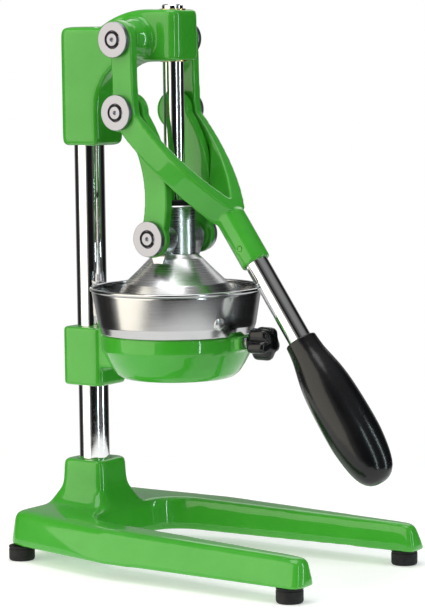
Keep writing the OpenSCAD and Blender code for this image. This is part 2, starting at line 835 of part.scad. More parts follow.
module guide_rod() {
    top = head_top_z + rod_proud;
    chrome() {
        translate([0, 0, cone_z]) cylinder(d = rod_d, h = top - 1 - cone_z);
        translate([0, 0, top - 1]) cylinder(d1 = rod_d, d2 = rod_d - 2, h = 1);
        translate([0, 0, cone_z - bell_ceiling - nut_h - 1])
            cylinder(r = rod_thread_r, h = bell_ceiling + nut_h + 1 + EPS);
    }
}

// half profile of the bell's outside or, with a wall taken off, of its inside
function bell_profile(t) = let (
        mouth = bell_r - t,
        knee_z = bell_z + (cone_z - bell_z) * 0.36,
        top = sleeve_r + 1 - t * 0.9
    ) [
        [0, bell_z], [mouth, bell_z], [mouth, bell_z + 6],
        [mouth - 1.2, bell_z + (knee_z - bell_z) * 0.6],
        [mouth - 3.8, knee_z - t * 0.2],
        [mouth - 8.6, knee_z + 6.4 - t * 0.5],
        [mouth - 14.5, knee_z + 12 - t * 0.8],
        [top, cone_z - t], [0, cone_z - t]
    ];

module press_bell() {
    steel() difference() {
        union() {
            rotate_extrude() polygon(bell_profile(0));
            translate([0, 0, cone_z - 1]) cylinder(r = sleeve_r, h = sleeve_z - cone_z);
            translate([0, 0, sleeve_z - 1]) cylinder(r1 = sleeve_r, r2 = sleeve_r - 1, h = 1);
            // the ears: blocks beside the sleeve with sloping tops
            intersection() {
                translate([-ear_face, -ear_half, cone_z - 12])
                    cube([2 * ear_face, 2 * ear_half, ear_z + pin_r + 5 - cone_z + 12]);
                side_view(ear_face) union() {
                    translate([0, ear_z]) circle(ear_half);
                    translate([-ear_half, cone_z - 12]) square([2 * ear_half, ear_z - cone_z + 12]);
                }
            }
        }
        translate([0, 0, -bell_ceiling + bell_t]) rotate_extrude() polygon(concat(
            [[0, bell_z - 10], [bell_r - bell_t, bell_z - 10]],
            [for (i = [2:7]) bell_profile(bell_t)[i]],
            [bell_profile(bell_t)[8]]));
        translate([0, 0, cone_z]) cylinder(d = rod_d + 2 * seat_fit, h = BIG);
        translate([0, 0, cone_z - bell_ceiling - 1]) cylinder(r = rod_thread_r + seat_fit, h = BIG);
        along_x(-BIG / 2, 0, ear_z) cylinder(r = pin_r + seat_fit, h = BIG / 2 - rod_d / 2 - 2.5);
        along_x(rod_d / 2 + 2.5, 0, ear_z) cylinder(r = pin_r + seat_fit, h = BIG);
    }
}

module bumper_ring() {
    black() translate([0, 0, sleeve_z]) ring(sleeve_r - 2, rod_d / 2 + seat_fit, bumper_h);
}

module rod_nut() {
    steel() translate([0, 0, cone_z - bell_ceiling - nut_h]) difference() {
        cylinder(r = rod_thread_r * 1.9, h = nut_h, $fn = 6);
        translate([0, 0, -1]) cylinder(r = rod_thread_r + seat_fit, h = nut_h + 2);
    }
}

module ear_pins() {
    start = rod_d / 2 + 3;
    steel() both_sides() along_x(start, 0, ear_z) cylinder(r = pin_r, h = ear_face - start);
}

// ---- bowl, strainer and reamer ----

bowl_seat_r = ring_r - ring_wall - 0.6;
bowl_foot_r = ring_r + 1.6;
bowl_floor_z = ring_z - ring_h + 14;
spout_z = ring_z - ring_h - spout_drop;

// the bowl's outline, from the rim down the outside, and its inside a sheet further in
function bowl_outline(t) = [
    [bowl_r - t, rim_z + 1], [bowl_r - t, rim_z - 8], [bowl_foot_r - t, ring_z + 3],
    [bowl_foot_r - 1.5 - t, ring_z + t], [bowl_seat_r - t, ring_z + t],
    [bowl_seat_r - t, ring_z - 12 + t], [bowl_seat_r - 9 - t, bowl_floor_z + 2 + t],
    [spout_r + 4 - t, bowl_floor_z - 2 + t], [spout_r - t, bowl_floor_z - 5 + t],
    [spout_r - t, spout_z + (t > 0 ? -1 : 0)]
];

module bowl() {
    steel() {
        difference() {
            rotate_extrude() polygon(concat(
                [[0, rim_z], [bowl_r, rim_z]], [for (i = [1:9]) bowl_outline(0)[i]], [[0, spout_z]]));
            rotate_extrude()
                polygon(concat([[0, rim_z + 1]], bowl_outline(bowl_t), [[0, spout_z - 1]]));
        }
        rotate_extrude() translate([bowl_r - bowl_t / 2, rim_z - rim_bead_r / 2])
            circle(rim_bead_r, $fn = 48);
    }
}

rivet_turn = 22.4;
rivet_r = 6.2;
rivet_z = ring_z + 11.5;

// the raised stud on the bowl's front, square to the sloping wall
module bowl_rivet() {
    rise = (bowl_r - bowl_foot_r) / (bowl_h - 11);
    wall_r = bowl_foot_r + rise * (rivet_z - ring_z - 3) + seat_fit;
    flange_h = 1.2;
    steel() rotate(-rivet_turn) translate([0, -wall_r, rivet_z]) rotate([90 + atan(rise), 0, 0]) {
        cylinder(r1 = rivet_r, r2 = rivet_r * 0.75, h = flange_h);
        translate([0, 0, flange_h]) cylinder(r1 = rivet_r * 0.75, r2 = rivet_r * 0.35, h = 1);
    }
}

// a plate that rests on the bowl's shoulder, pierced by rings of slots
module strainer() {
    strainer_r = bowl_seat_r - 2.5;
    slots = 24;
    steel() translate([0, 0, plate_z]) difference() {
        union() {
            cylinder(r = strainer_r, h = strainer_t);
            ring(bowl_foot_r - 4, strainer_r - 1, strainer_t);
        }
        for (i = [0:slots - 1]) rotate(i * 360 / slots)
            translate([reamer_r + 3, -1, -1]) cube([strainer_r - reamer_r - 8, 2, strainer_t + 2]);
    }
}

// a ribbed cone that stands on the strainer
module reamer_cone() {
    ribs = 12;
    tip_r = 4;
    base_z = plate_z + strainer_t;
    body_r = reamer_r - 3;
    steel() translate([0, 0, base_z]) {
        cylinder(r1 = body_r, r2 = tip_r, h = reamer_h - 3);
        translate([0, 0, reamer_h - 3]) cylinder(r1 = tip_r, r2 = 1, h = 3);
        for (i = [0:ribs / 2 - 1]) rotate(i * 360 / ribs)
            rotate([90, 0, 0]) translate([0, 0, -0.9]) linear_extrude(1.8)
                polygon([[-reamer_r, 0], [reamer_r, 0], [tip_r, reamer_h - 4], [-tip_r, reamer_h - 4]]);
    }
}

// ---- bowl support ----

SUPPORT_SCREWS = [clamp_z + 13, clamp_z + 36];

module bowl_support() {
    ring_low = ring_z - ring_h;
    step_z = ring_z - ring_band_h;
    outside = [
        [0, ring_z], [ring_r, ring_z], [ring_r, step_z], [ring_r - 1.2, step_z - 1.6],
        [ring_r - 4, ring_z - 20.5], [ring_r - 6.6, ring_z - 25.5], [ring_r - 11.5, ring_z - 33],
        [ring_r - 17, ring_low], [0, ring_low]
    ];
    web_w = housing_w - 5;
    green() difference() {
        union() {
            rotate_extrude() polygon(outside);
            // the clamp on the column
            translate([0, clamp_y, clamp_z]) linear_extrude(clamp_h)
                rounded_square(housing_w, clamp_l, boss_corner);
            // the short arm between ring and clamp
            translate([-web_w / 2, ring_r - 14, ring_low + 4])
                cube([web_w, clamp_y - ring_r + 14, ring_h - 4]);
            // the lug for the clamp screw
            translate([-lug_w / 2, -lug_out, ring_z - lug_h]) cube([lug_w, lug_l, lug_h]);
            along_front(0, -lug_out + lug_l, screw_z) cylinder(r = screw_r + 1, h = lug_l);
        }
        translate([0, 0, ring_low - 1]) cylinder(r = ring_hole_r, h = ring_h + 2);
        rotate_extrude() polygon([
            [0, ring_z + 1], [ring_r - ring_wall, ring_z + 1], [ring_r - ring_wall, step_z - 1],
            [ring_r - ring_wall - 10, ring_low + 12], [ring_hole_r + 1, ring_low + 5],
            [0, ring_low + 5]
        ]);
        translate([0, reach, clamp_z - 1])
            cylinder(d = column_d + 2 * seat_fit, h = clamp_h + 2);
        along_front(0, -ring_r + ring_wall + 2, screw_z) cylinder(r = screw_r + run_fit, h = BIG);
        for (z = SUPPORT_SCREWS) along_x(0, reach, z) cylinder(r = head_screw_r + seat_fit, h = BIG);
    }
}

module support_screws() { set_screws(SUPPORT_SCREWS); }

// ---- clamp knob ----

pad_y = -bowl_seat_r - side_gap;

module clamp_pad() {
    brass() along_front(0, pad_y, screw_z) difference() {
        cylinder(r = pad_r - 1.4, h = pad_t);
        translate([0, 0, pad_t / 2]) cylinder(r = screw_r * 0.5 + run_fit, h = pad_t);
    }
}

module clamp_screw() {
    tip = pad_t / 2 + 0.1;
    knob_end = lug_out + knob_gap + knob_l * 0.6;
    steel() {
        along_front(0, pad_y, screw_z) translate([0, 0, tip]) cylinder(r = screw_r * 0.5, h = pad_t);
        along_front(0, pad_y - pad_t - side_gap / 2, screw_z)
            cylinder(r = screw_r, h = knob_end + pad_y - pad_t - side_gap / 2);
    }
}

module clamp_knob() {
    neck_l = 4;
    lobe_r = knob_r * 0.42;
    lobe_at = knob_r - lobe_r;
    body_l = knob_l - neck_l - 2;
    black() along_front(0, -lug_out - knob_gap, screw_z) difference() {
        union() {
            cylinder(r1 = screw_r + 3, r2 = screw_r + 4, h = neck_l);
            translate([0, 0, neck_l]) cylinder(r = knob_r * 0.72, h = body_l);
            for (i = [0:knob_lobes - 1]) rotate(90 + i * 360 / knob_lobes)
                translate([lobe_at, 0, neck_l]) {
                    translate([0, 0, 2]) cylinder(r = lobe_r, h = body_l - 4);
                    cylinder(r1 = lobe_r - 1.5, r2 = lobe_r, h = 2);
                    translate([0, 0, body_l - 2]) cylinder(r1 = lobe_r, r2 = lobe_r - 1.8, h = 2);
                }
            translate([0, 0, neck_l + body_l]) cylinder(r1 = knob_r * 0.6, r2 = knob_r * 0.4, h = 2);
        }
        translate([0, 0, -1]) cylinder(r = screw_r + seat_fit, h = knob_l * 0.6 + 1.2);
    }
}

// ---- build ----

base();
foot_rear_left();
foot_rear_right();
foot_front_left();
foot_front_right();
foot_screws();
column();
column_bolt();
column_washer();
bowl_support();
support_screws();
bowl();
bowl_rivet();
strainer();
reamer_cone();
head();
head_screws();
guide_bush_upper();
guide_bush_lower();
pivot_pin();
pivot_washers();
pivot_clips();
guide_rod();
press_bell();
bumper_ring();
rod_nut();
ear_pins();
yoke();
yoke_bushes();
handle_tube();
handle_grip();
tube_pin();
link_pins();
link_washers();
link_clips();
link_left();
link_bush_left();
ear_bolt_left();
ear_washer_left();
ear_clip_left();
link_right();
link_bush_right();
ear_bolt_right();
ear_washer_right();
ear_clip_right();
clamp_pad();
clamp_screw();
clamp_knob();
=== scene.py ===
"""Looks of a hand lever citrus press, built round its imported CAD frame.

Lengths are in metres. Outlines of turned pieces are drawn in millimetres where their comments say so.
"""

import json
import math

import bmesh
import bpy
from mathutils import Matrix, Vector

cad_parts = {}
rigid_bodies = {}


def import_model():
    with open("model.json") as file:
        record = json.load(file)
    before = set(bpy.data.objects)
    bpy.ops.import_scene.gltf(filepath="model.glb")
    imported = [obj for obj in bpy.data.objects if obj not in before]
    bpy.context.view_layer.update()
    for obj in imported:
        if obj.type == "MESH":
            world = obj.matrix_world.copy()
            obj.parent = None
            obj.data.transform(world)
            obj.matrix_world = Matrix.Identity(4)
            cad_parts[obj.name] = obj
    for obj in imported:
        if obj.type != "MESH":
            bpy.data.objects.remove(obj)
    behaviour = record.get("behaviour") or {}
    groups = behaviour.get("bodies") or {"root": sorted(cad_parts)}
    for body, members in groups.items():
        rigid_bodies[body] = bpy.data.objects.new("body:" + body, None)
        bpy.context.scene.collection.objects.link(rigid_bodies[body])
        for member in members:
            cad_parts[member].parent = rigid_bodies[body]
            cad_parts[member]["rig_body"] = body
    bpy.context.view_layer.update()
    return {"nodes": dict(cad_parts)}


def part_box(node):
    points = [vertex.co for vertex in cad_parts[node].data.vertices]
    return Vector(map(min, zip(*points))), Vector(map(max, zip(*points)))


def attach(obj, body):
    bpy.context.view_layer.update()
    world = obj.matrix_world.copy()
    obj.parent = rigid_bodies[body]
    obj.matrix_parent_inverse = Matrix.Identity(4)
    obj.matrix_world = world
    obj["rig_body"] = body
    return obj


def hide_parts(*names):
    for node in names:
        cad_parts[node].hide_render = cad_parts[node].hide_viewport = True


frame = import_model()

MM = 0.001
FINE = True
NODES = frame["nodes"]


# ---- places, all read from the frame ----

def low(node):
    """The corner of a CAD node's box at its lowest X, Y and Z."""
    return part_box(node)[0]


def high(node):
    """The corner of a CAD node's box at its highest X, Y and Z."""
    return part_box(node)[1]


def middle(node):
    return (low(node) + high(node)) / 2


def half_size(node):
    return (high(node) - low(node)) / 2


# the upright axis of the guide rod, which bell and bowl share
RAM = Vector((0, middle("guide_rod").y, 0))


def upright(x, y, z):
    """Places a shape drawn about +Z at a point."""
    return Matrix.Translation((x, y, z))


def sideways(side, x, y, z):
    """Places a shape drawn about +Z at a point, with its +Z pointing out along X to that side."""
    return Matrix.Translation((x, y, z)) @ Matrix.Rotation(side * math.pi / 2, 4, "Y")


# ---- materials ----

def shader(name, colour, **sockets):
    """A material with one Principled shader. Sockets that are the same all over are set on it directly."""
    made = bpy.data.materials.new(name)
    made.use_nodes = True
    principled = made.node_tree.nodes["Principled BSDF"]
    principled.inputs["Base Color"].default_value = (*colour, 1)
    for socket, value in sockets.items():
        principled.inputs[socket.replace("_", " ").title().replace("Ior", "IOR")].default_value = value
    return made


def add(made, kind, **inputs):
    """A new node, with its unlinked inputs set by name."""
    node = made.node_tree.nodes.new(kind)
    for socket, value in inputs.items():
        node.inputs[socket.replace("_", " ").title()].default_value = value
    return node


def link(made, out, into):
    """Joins two sockets."""
    made.node_tree.links.new(out, into)


def place(made):
    """The piece's own coordinates, so that a pattern stays with it when it moves."""
    return add(made, "ShaderNodeTexCoord").outputs["Object"]


def math_node(made, operation, first, second=None):
    """Arithmetic on two factors or numbers."""
    node = add(made, "ShaderNodeMath")
    node.operation = operation
    for socket, value in zip(node.inputs, (first, second)):
        if isinstance(value, (int, float)):
            socket.default_value = value
        elif value is not None:
            link(made, value, socket)
    return node.outputs[0]


def noise(made, where, scale, detail=3.0, roughness=0.55):
    """A factor that drifts round one half, with scale features to the metre."""
    node = add(made, "ShaderNodeTexNoise", scale=scale, detail=detail, roughness=roughness)
    link(made, where, node.inputs["Vector"])
    return node.outputs["Fac"]


def span(made, fac, low_value, high_value, start=0.3, end=0.7):
    """Maps a factor between start and end to a pair of values."""
    node = add(made, "ShaderNodeMapRange")
    # sockets 1 to 4: from minimum, from maximum, to minimum, to maximum
    for socket, value in zip(node.inputs[1:5], (start, end, low_value, high_value)):
        socket.default_value = value
    link(made, fac, node.inputs[0])
    return node.outputs[0]


def mix(made, fac, first, second):
    """Blends two colours, each plain or linked."""
    node = add(made, "ShaderNodeMix")
    node.data_type = "RGBA"
    link(made, fac, node.inputs["Factor"])
    # sockets 6 and 7 are the two colours, and output 2 is the blended one
    for socket, value in ((node.inputs[6], first), (node.inputs[7], second)):
        if isinstance(value, tuple):
            socket.default_value = (*value, 1)
        else:
            link(made, value, socket)
    return node.outputs[2]


def drive(made, socket, value):
    """Links a factor or colour to the material's shader."""
    link(made, value, made.node_tree.nodes["Principled BSDF"].inputs[socket])


def relief(made, *layers):
    """Stacks bump layers, each a factor and its height in metres."""
    normal = None
    for fac, height in layers:
        bump = add(made, "ShaderNodeBump", strength=1.0, distance=height)
        link(made, fac, bump.inputs["Height"])
        if normal is not None:
            link(made, normal, bump.inputs["Normal"])
        normal = bump.outputs[0]
    drive(made, "Normal", normal)


def turning(made, along, centre, scale):
    """A factor in fine rings about an axis along X or Z, as a lathe or a polishing wheel leaves."""
    split = add(made, "ShaderNodeSeparateXYZ")
    moved = add(made, "ShaderNodeVectorMath")
    moved.operation = "SUBTRACT"
    link(made, place(made), moved.inputs[0])
    moved.inputs[1].default_value = centre
    link(made, moved.outputs[0], split.inputs[0])
    x, y, z = split.outputs
    pair, rest = ((y, z), x) if along == "X" else ((x, y), z)
    square = [math_node(made, "MULTIPLY", p, p) for p in pair]
    radius = math_node(made, "SQRT", math_node(made, "ADD", *square))
    rings = add(made, "ShaderNodeCombineXYZ")
    link(made, radius, rings.inputs[0])
    link(made, rest, rings.inputs[1])
    return noise(made, rings.outputs[0], scale, detail=4.0, roughness=0.7)


def edges(made):
    """A factor that is high on convex edges."""
    flat, sharp = 0.5, 0.56
    point = add(made, "ShaderNodeNewGeometry").outputs["Pointiness"]
    return span(made, point, 0.0, 1.0, flat, sharp)


def enamel():
    """Thick glossy paint on cast iron: cloudy, slightly uneven, and lighter on convex edges, partly as
    thinner paint and partly as a painted highlight.
    """
    # the third colour is a lighter, lit green for convex edges: a painted highlight, and partly thinner
    # paint
    deep, pale, thin_and_highlit = (0.042, 0.375, 0.022), (0.056, 0.410, 0.032), (0.14, 0.47, 0.06)
    made = shader("green_enamel", (0.057, 0.39, 0.04), roughness=0.3, coat_weight=0.9,
                  coat_roughness=0.045, specular_ior_level=0.1)
    where = place(made)
    clouds = noise(made, where, 38, 4)
    # painted highlight: convex edges are mixed towards the lit green, partly standing for thinner paint
    worn_and_highlit = math_node(made, "MULTIPLY", edges(made), span(made, clouds, 0.2, 0.5))
    drive(made, "Base Color", mix(made, worn_and_highlit, mix(made, span(made, clouds, 0, 1), deep, pale), thin_and_highlit))
    drive(made, "Roughness", span(made, noise(made, where, 700, 3), 0.30, 0.38))
    waves, peel = 0.12 * MM, 0.03 * MM
    relief(made, (noise(made, where, 85, 2), waves), (noise(made, where, 260, 2), peel))
    return made


def chrome(name, along, centre):
    """Polished plating with a slight haze and the faintest of grinding marks."""
    made = shader(name, (0.82, 0.82, 0.83), metallic=1.0, roughness=0.07)
    where = place(made)
    darker, lighter = (0.79, 0.79, 0.81), (0.85, 0.85, 0.86)
    drive(made, "Base Color", mix(made, span(made, noise(made, where, 60, 3), 0, 1), darker, lighter))
    drive(made, "Roughness", span(made, noise(made, where, 240, 4), 0.045, 0.10))
    relief(made, (turning(made, along, centre, 1500), 0.0012 * MM))
    return made


def stainless(name, centre, tint, rough):
    """Polished stainless steel: fine rings about an upright axis, stretched highlights, lighter smears."""
    made = shader(name, tint, metallic=1.0, roughness=rough[0], anisotropic=0.45)
    tangent = add(made, "ShaderNodeTangent")
    tangent.direction_type = "RADIAL"
    tangent.axis = "Z"
    drive(made, "Tangent", tangent.outputs[0])
    lines = turning(made, "Z", centre, 2600)
    smear = noise(made, place(made), 45, 4)
    darker, lighter = (tuple(c * share for c in tint) for share in (0.96, 1.04))
    tone = mix(made, span(made, lines, 0, 1), darker, lighter)
    wiped = tuple(c * 1.16 for c in tint)
    drive(made, "Base Color", mix(made, span(made, smear, 0, 0.35), tone, wiped))
    drive(made, "Roughness", span(made, lines, *rough))
    relief(made, (lines, 0.00025 * MM))
    return made


def turned(name, along, centre, colour, rough):
    """Turned metal with fine concentric tool marks."""
    made = shader(name, colour, metallic=1.0, roughness=rough[0])
    marks = turning(made, along, centre, 1400)
    lighter = tuple(min(1, c * 1.12) for c in colour)
    drive(made, "Base Color", mix(made, span(made, marks, 0, 1), colour, lighter))
    drive(made, "Roughness", span(made, marks, *rough))
    relief(made, (marks, 0.008 * MM))
    return made


def dull_metal(name, colour, rough):
    """Plated or blackened steel with a fine, patchy grain."""
    made = shader(name, colour, metallic=1.0, roughness=rough[0])
    where = place(made)
    lighter = tuple(min(1, c * 1.3) for c in colour)
    drive(made, "Base Color", mix(made, span(made, noise(made, where, 260, 4), 0, 1), colour, lighter))
    drive(made, "Roughness", span(made, noise(made, where, 900, 3), *rough))
    relief(made, (noise(made, where, 1500, 2), 0.015 * MM))
    return made


def plastic(name, rough, grain_height):
    """Moulded black plastic: a fine grain, with lighter rubbed patches."""
    made = shader(name, (0.008, 0.008, 0.009), roughness=rough[0], specular_ior_level=0.4)
    where = place(made)
    darker, lighter = (0.004, 0.004, 0.005), (0.008, 0.008, 0.009)
    drive(made, "Base Color", mix(made, span(made, noise(made, where, 30, 4), 0, 1), darker, lighter))
    drive(made, "Roughness", span(made, noise(made, where, 500, 4), *rough))
    relief(made, (noise(made, where, 850, 3), grain_height))
    return made


def rubber():
    """Dull black rubber with a little dust on it."""
    clean, dusty = (0.007, 0.007, 0.008), (0.017, 0.017, 0.017)
    made = shader("black_rubber", (0.01, 0.01, 0.011), roughness=0.6, specular_ior_level=0.3)
    where = place(made)
    dust = span(made, noise(made, where, 120, 5), 0, 1, 0.45, 0.75)
    drive(made, "Base Color", mix(made, dust, clean, dusty))
    drive(made, "Roughness", span(made, noise(made, where, 600, 3), 0.5, 0.75))
    relief(made, (noise(made, where, 1300, 3), 0.03 * MM))
    return made


SATIN, SATIN_ROUGH = (0.33, 0.33, 0.375), (0.28, 0.38)

GREEN = enamel()
CHROME_UPRIGHT = chrome("chrome_upright", "Z", tuple(middle("column")))
CHROME_ROD = chrome("chrome_rod", "Z", tuple(middle("guide_rod")))
CHROME_TUBE = chrome("chrome_tube", "X", tuple(middle("handle_tube")))
BELL_STEEL = stainless("bell_steel", tuple(RAM), (0.62, 0.62, 0.63), (0.2, 0.3))
BOWL_STEEL = stainless("bowl_steel", tuple(RAM), (0.52, 0.52, 0.53), (0.12, 0.2))
INNER_STEEL = stainless("inner_steel", tuple(RAM), (0.55, 0.55, 0.56), (0.2, 0.3))
ZINC = dull_metal("zinc_steel", (0.5, 0.51, 0.53), (0.25, 0.4))
SPRING = dull_metal("spring_steel", (0.016, 0.016, 0.018), (0.3, 0.45))
BRASS = turned("bearing_brass", "Z", tuple(RAM), (0.66, 0.48, 0.2), (0.2, 0.34))
GRIP_BLACK = plastic("grip_plastic", (0.17, 0.21), 0.0012 * MM)
KNOB_BLACK = plastic("knob_plastic", (0.12, 0.2), 0.01 * MM)
RUBBER = rubber()
PIVOT_SATIN = turned("pivot_satin", "X", tuple(middle("pivot_washers")), SATIN, SATIN_ROUGH)
CRANK_SATIN = turned("crank_satin", "X", tuple(middle("link_washers")), SATIN, SATIN_ROUGH)
EAR_SATIN = turned("ear_satin", "X", tuple(middle("ear_washer_left")), SATIN, SATIN_ROUGH)


# ---- shapes ----

NOTHING = 1e-7  # a radius below this is a point on the axis, and a shorter stretch has no length
SAME_POINT = 2e-6  # points closer than this are merged
SAME_FACE = 0.004  # faces that meet at less than this angle, in radians, are one face
STRAIGHT = 0.02  # an outline's corner within this angle of straight or doubled back isn't rounded


def new_object(name, mesh, made):
    """An object in the scene, with one material."""
    obj = bpy.data.objects.new(name, mesh)
    bpy.context.scene.collection.objects.link(obj)
    mesh.materials.clear()
    mesh.materials.append(made)
    return obj


def soften(obj, sharp=35):
    """Smooth shading that stays crisp on flat faces and past the sharp angle."""
    for face in obj.data.polygons:
        face.use_smooth = True
    obj.data.set_sharp_from_angle(angle=math.radians(sharp))
    weighted = obj.modifiers.new("weighted", "WEIGHTED_NORMAL")
    weighted.keep_sharp = True
    return obj


def finished(name, mesh, made):
    """Turns a drawn mesh into an object."""
    data = bpy.data.meshes.new(name)
    mesh.to_mesh(data)
    mesh.free()
    return new_object(name, data, made)


def stand_in(obj, slot, *nodes):
    """obj stands for these CAD nodes and moves with their body."""
    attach(obj, NODES[nodes[0]]["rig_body"])
    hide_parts(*nodes)
    return obj


def arc_between(before, corner, after, radius, steps):
    """The points of a fillet at a corner of an outline, or the corner itself where there is no room."""
    a, b = (before - corner), (after - corner)
    if radius <= 0 or min(a.length, b.length) < NOTHING:
        return [corner]
    half = a.angle(b) / 2
    if half < STRAIGHT or half > math.pi / 2 - STRAIGHT:
        return [corner]
    under_half = 0.49  # of each stretch, so that the fillets at its two ends don't meet
    reach = min(radius / math.tan(half), under_half * a.length, under_half * b.length)
    radius = reach * math.tan(half)
    centre = corner + (a.normalized() + b.normalized()).normalized() * (radius / math.sin(half))
    first, last = corner + a.normalized() * reach, corner + b.normalized() * reach
    turn = (first - centre).angle_signed(last - centre)
    points = []
    for i in range(steps + 1):
        offset = (first - centre).copy()
        offset.rotate(Matrix.Rotation(-turn * i / steps, 2))
        points.append(centre + offset)
    return points


def filleted(outline, steps=5):
    """An outline of (radius, height, fillet) with its corners rounded. Its two ends stay as they are."""
    points = [Vector((p[0], p[1])) for p in outline]
    made = [points[0]]
    for i in range(1, len(points) - 1):
        made += arc_between(points[i - 1], points[i], points[i + 1], outline[i][2], steps)
    return [(p.x, p.y) for p in [*made, points[-1]]]


def rings_of(mesh, outline, segments, reach):
    """A ring of points for each point of an outline, or one point where it meets the axis."""
    rings = []
    for radius, height in outline:
        if radius < NOTHING:
            rings.append([mesh.verts.new((0, 0, height))])
            continue
        ring = []
        for i in range(segments):
            angle = 2 * math.pi * i / segments
            r = reach(angle, radius, height) if reach else radius
            ring.append(mesh.verts.new((r * math.cos(angle), r * math.sin(angle), height)))
        rings.append(ring)
    return rings


def skin(mesh, lower, upper, segments):
    """The faces between two rings, or between a ring and a point."""
    for i in range(segments):
        j = (i + 1) % segments
        corners = [lower[i % len(lower)], lower[j % len(lower)]]
        corners += [upper[j % len(upper)], upper[i % len(upper)]]
        corners = list(dict.fromkeys(corners))
        if len(corners) > 2:
            mesh.faces.new(corners)


def lathe(name, outline, matrix, made, segments=128, reach=None):
    """Turns an outline of (radius, height) about +Z, then places it. reach(angle, radius, height) may
    change the radius round the axis, as on a fluted or lobed piece."""
    mesh = bmesh.new()
    rings = rings_of(mesh, outline, segments, reach)
    for lower, upper in zip(rings, rings[1:]):
        skin(mesh, lower, upper, segments)
    bmesh.ops.recalc_face_normals(mesh, faces=mesh.faces)
    mesh.transform(matrix)
    return soften(finished(name, mesh, made))


def applied(obj):
    """Turns an object's modifiers into its mesh."""
    bpy.context.view_layer.update()
    evaluated = obj.evaluated_get(bpy.context.evaluated_depsgraph_get())
    mesh = bpy.data.meshes.new_from_object(evaluated)
    obj.modifiers.clear()
    old = obj.data
    obj.data = mesh
    bpy.data.meshes.remove(old)
    return obj


def combine(obj, other, operation):
    """Joins or cuts obj with another object, which is used up."""
    step = obj.modifiers.new(operation, "BOOLEAN")
    step.operation = operation
    step.object = other
    applied(obj)
    bpy.data.objects.remove(other)
    return obj


def break_edges(obj, width, angle):
    """Bevels every edge that turns by more than an angle, in degrees."""
    bevel = obj.modifiers.new("edges", "BEVEL")
    bevel.width = width
    bevel.segments = 2
    bevel.angle_limit = math.radians(angle)
    applied(obj)
    return soften(obj, 40)


# ---- castings ----

def cast(node, voxel, rounds):
    """A casting from its CAD node: every edge and inner corner is rounded, as moulded iron is."""
    obj = new_object(node + "_casting", NODES[node].data.copy(), GREEN)
    remesh = obj.modifiers.new("remesh", "REMESH")
    remesh.mode = "VOXEL"
    remesh.voxel_size = voxel if FINE else voxel * 1.5
    smooth = obj.modifiers.new("smooth", "SMOOTH")
    smooth.factor = 0.5
    smooth.iterations = rounds if FINE else rounds // 2
    applied(obj)
    obj.data.materials.clear()
    obj.data.materials.append(GREEN)
    for face in obj.data.polygons:
        face.use_smooth = True
    return stand_in(obj, "green_enamel", node)


# each casting's remeshing step in millimetres, and its rounds of smoothing: more rounds, rounder edges
CASTINGS = {"base": (1.1, 100), "head": (0.9, 150), "bowl_support": (0.9, 40), "yoke": (0.8, 24),
            "link_left": (0.7, 14), "link_right": (0.7, 14)}
for node, (voxel, rounds) in CASTINGS.items():
    cast(node, voxel * MM, rounds)


# ---- chromed bars ----

def bar(node, made, chamfer, mark=0.0):
    """A chromed upright bar with broken edges and, on request, a drilled centre mark in its top."""
    c, r, z0, z1 = middle(node), half_size(node).x, low(node).z, high(node).z
    outline = [(0, z0), (r - chamfer, z0), (r, z0 + chamfer), (r, z1 - chamfer), (r - chamfer, z1)]
    outline += [(mark, z1), (0, z1 - mark)] if mark else [(0, z1)]
    return stand_in(lathe(node + "_bar", outline, upright(c.x, c.y, 0), made), "chrome_plate", node)


bar("column", CHROME_UPRIGHT, 0.4 * MM)
bar("guide_rod", CHROME_ROD, 1.0 * MM, 1.8 * MM)


# ---- small parts from their CAD nodes, with every edge broken ----

TURNED_EDGE, PIN_EDGE, PLATED_EDGE, THIN_EDGE = 0.5 * MM, 0.6 * MM, 0.3 * MM, 0.15 * MM


def trimmed(node, how, made, slot, width, cuts=()):
    """A CAD node with its sharp edges broken, after any cuts are taken out of it. The piece is named
    after the node and how it is made."""
    obj = new_object(f"{node}_{how}", NODES[node].data.copy(), made)
    mesh = bmesh.new()
    mesh.from_mesh(obj.data)
    bmesh.ops.remove_doubles(mesh, verts=mesh.verts, dist=SAME_POINT)
    bmesh.ops.dissolve_limit(mesh, angle_limit=SAME_FACE, verts=mesh.verts, edges=mesh.edges)
    mesh.to_mesh(obj.data)
    mesh.free()
    for cutter in cuts:
        combine(obj, cutter, "DIFFERENCE")
    break_edges(obj, width, 38)
    return stand_in(obj, slot, node)


def centre_mark(x, node, side):
    """The cutter for a drilled mark in a pin's end: a cone twice as deep as its radius."""
    c, r = middle(node), 1.7 * MM
    outline = [(0, -2 * r), (r, 0), (r, r), (0, r)]
    cutter = lathe("centre_mark", outline, sideways(side, x, c.y, c.z), SPRING, 32)
    cutter.modifiers.clear()
    return cutter


def marked_pin(node, made, *sides):
    """A pin with a centre mark in its end on each side: -1 is the end at the lower X."""
    ends = {-1: low(node).x, 1: high(node).x}
    marks = [centre_mark(ends[side], node, side) for side in sides]
    return trimmed(node, "turned", made, "chrome_fittings", PIN_EDGE, marks)


trimmed("pivot_washers", "turned", PIVOT_SATIN, "chrome_fittings", TURNED_EDGE)
trimmed("link_washers", "turned", CRANK_SATIN, "chrome_fittings", TURNED_EDGE)
marked_pin("pivot_pin", PIVOT_SATIN, -1, 1)
marked_pin("link_pins", CRANK_SATIN, -1, 1)
for node in ("pivot_clips", "link_clips"):
    trimmed(node, "pressed", SPRING, "spring_steel", THIN_EDGE)
for hand in ("left", "right"):
    outer_side = 1 if middle("ear_bolt_" + hand).x > 0 else -1
    trimmed("ear_washer_" + hand, "turned", EAR_SATIN, "chrome_fittings", TURNED_EDGE)
    marked_pin("ear_bolt_" + hand, EAR_SATIN, outer_side)
    trimmed("ear_clip_" + hand, "pressed", SPRING, "spring_steel", THIN_EDGE)
    trimmed("link_bush_" + hand, "turned", BRASS, "bearing_brass", THIN_EDGE)
for node in ("guide_bush_upper", "guide_bush_lower", "yoke_bushes", "clamp_pad"):
    trimmed(node, "turned", BRASS, "bearing_brass", THIN_EDGE)
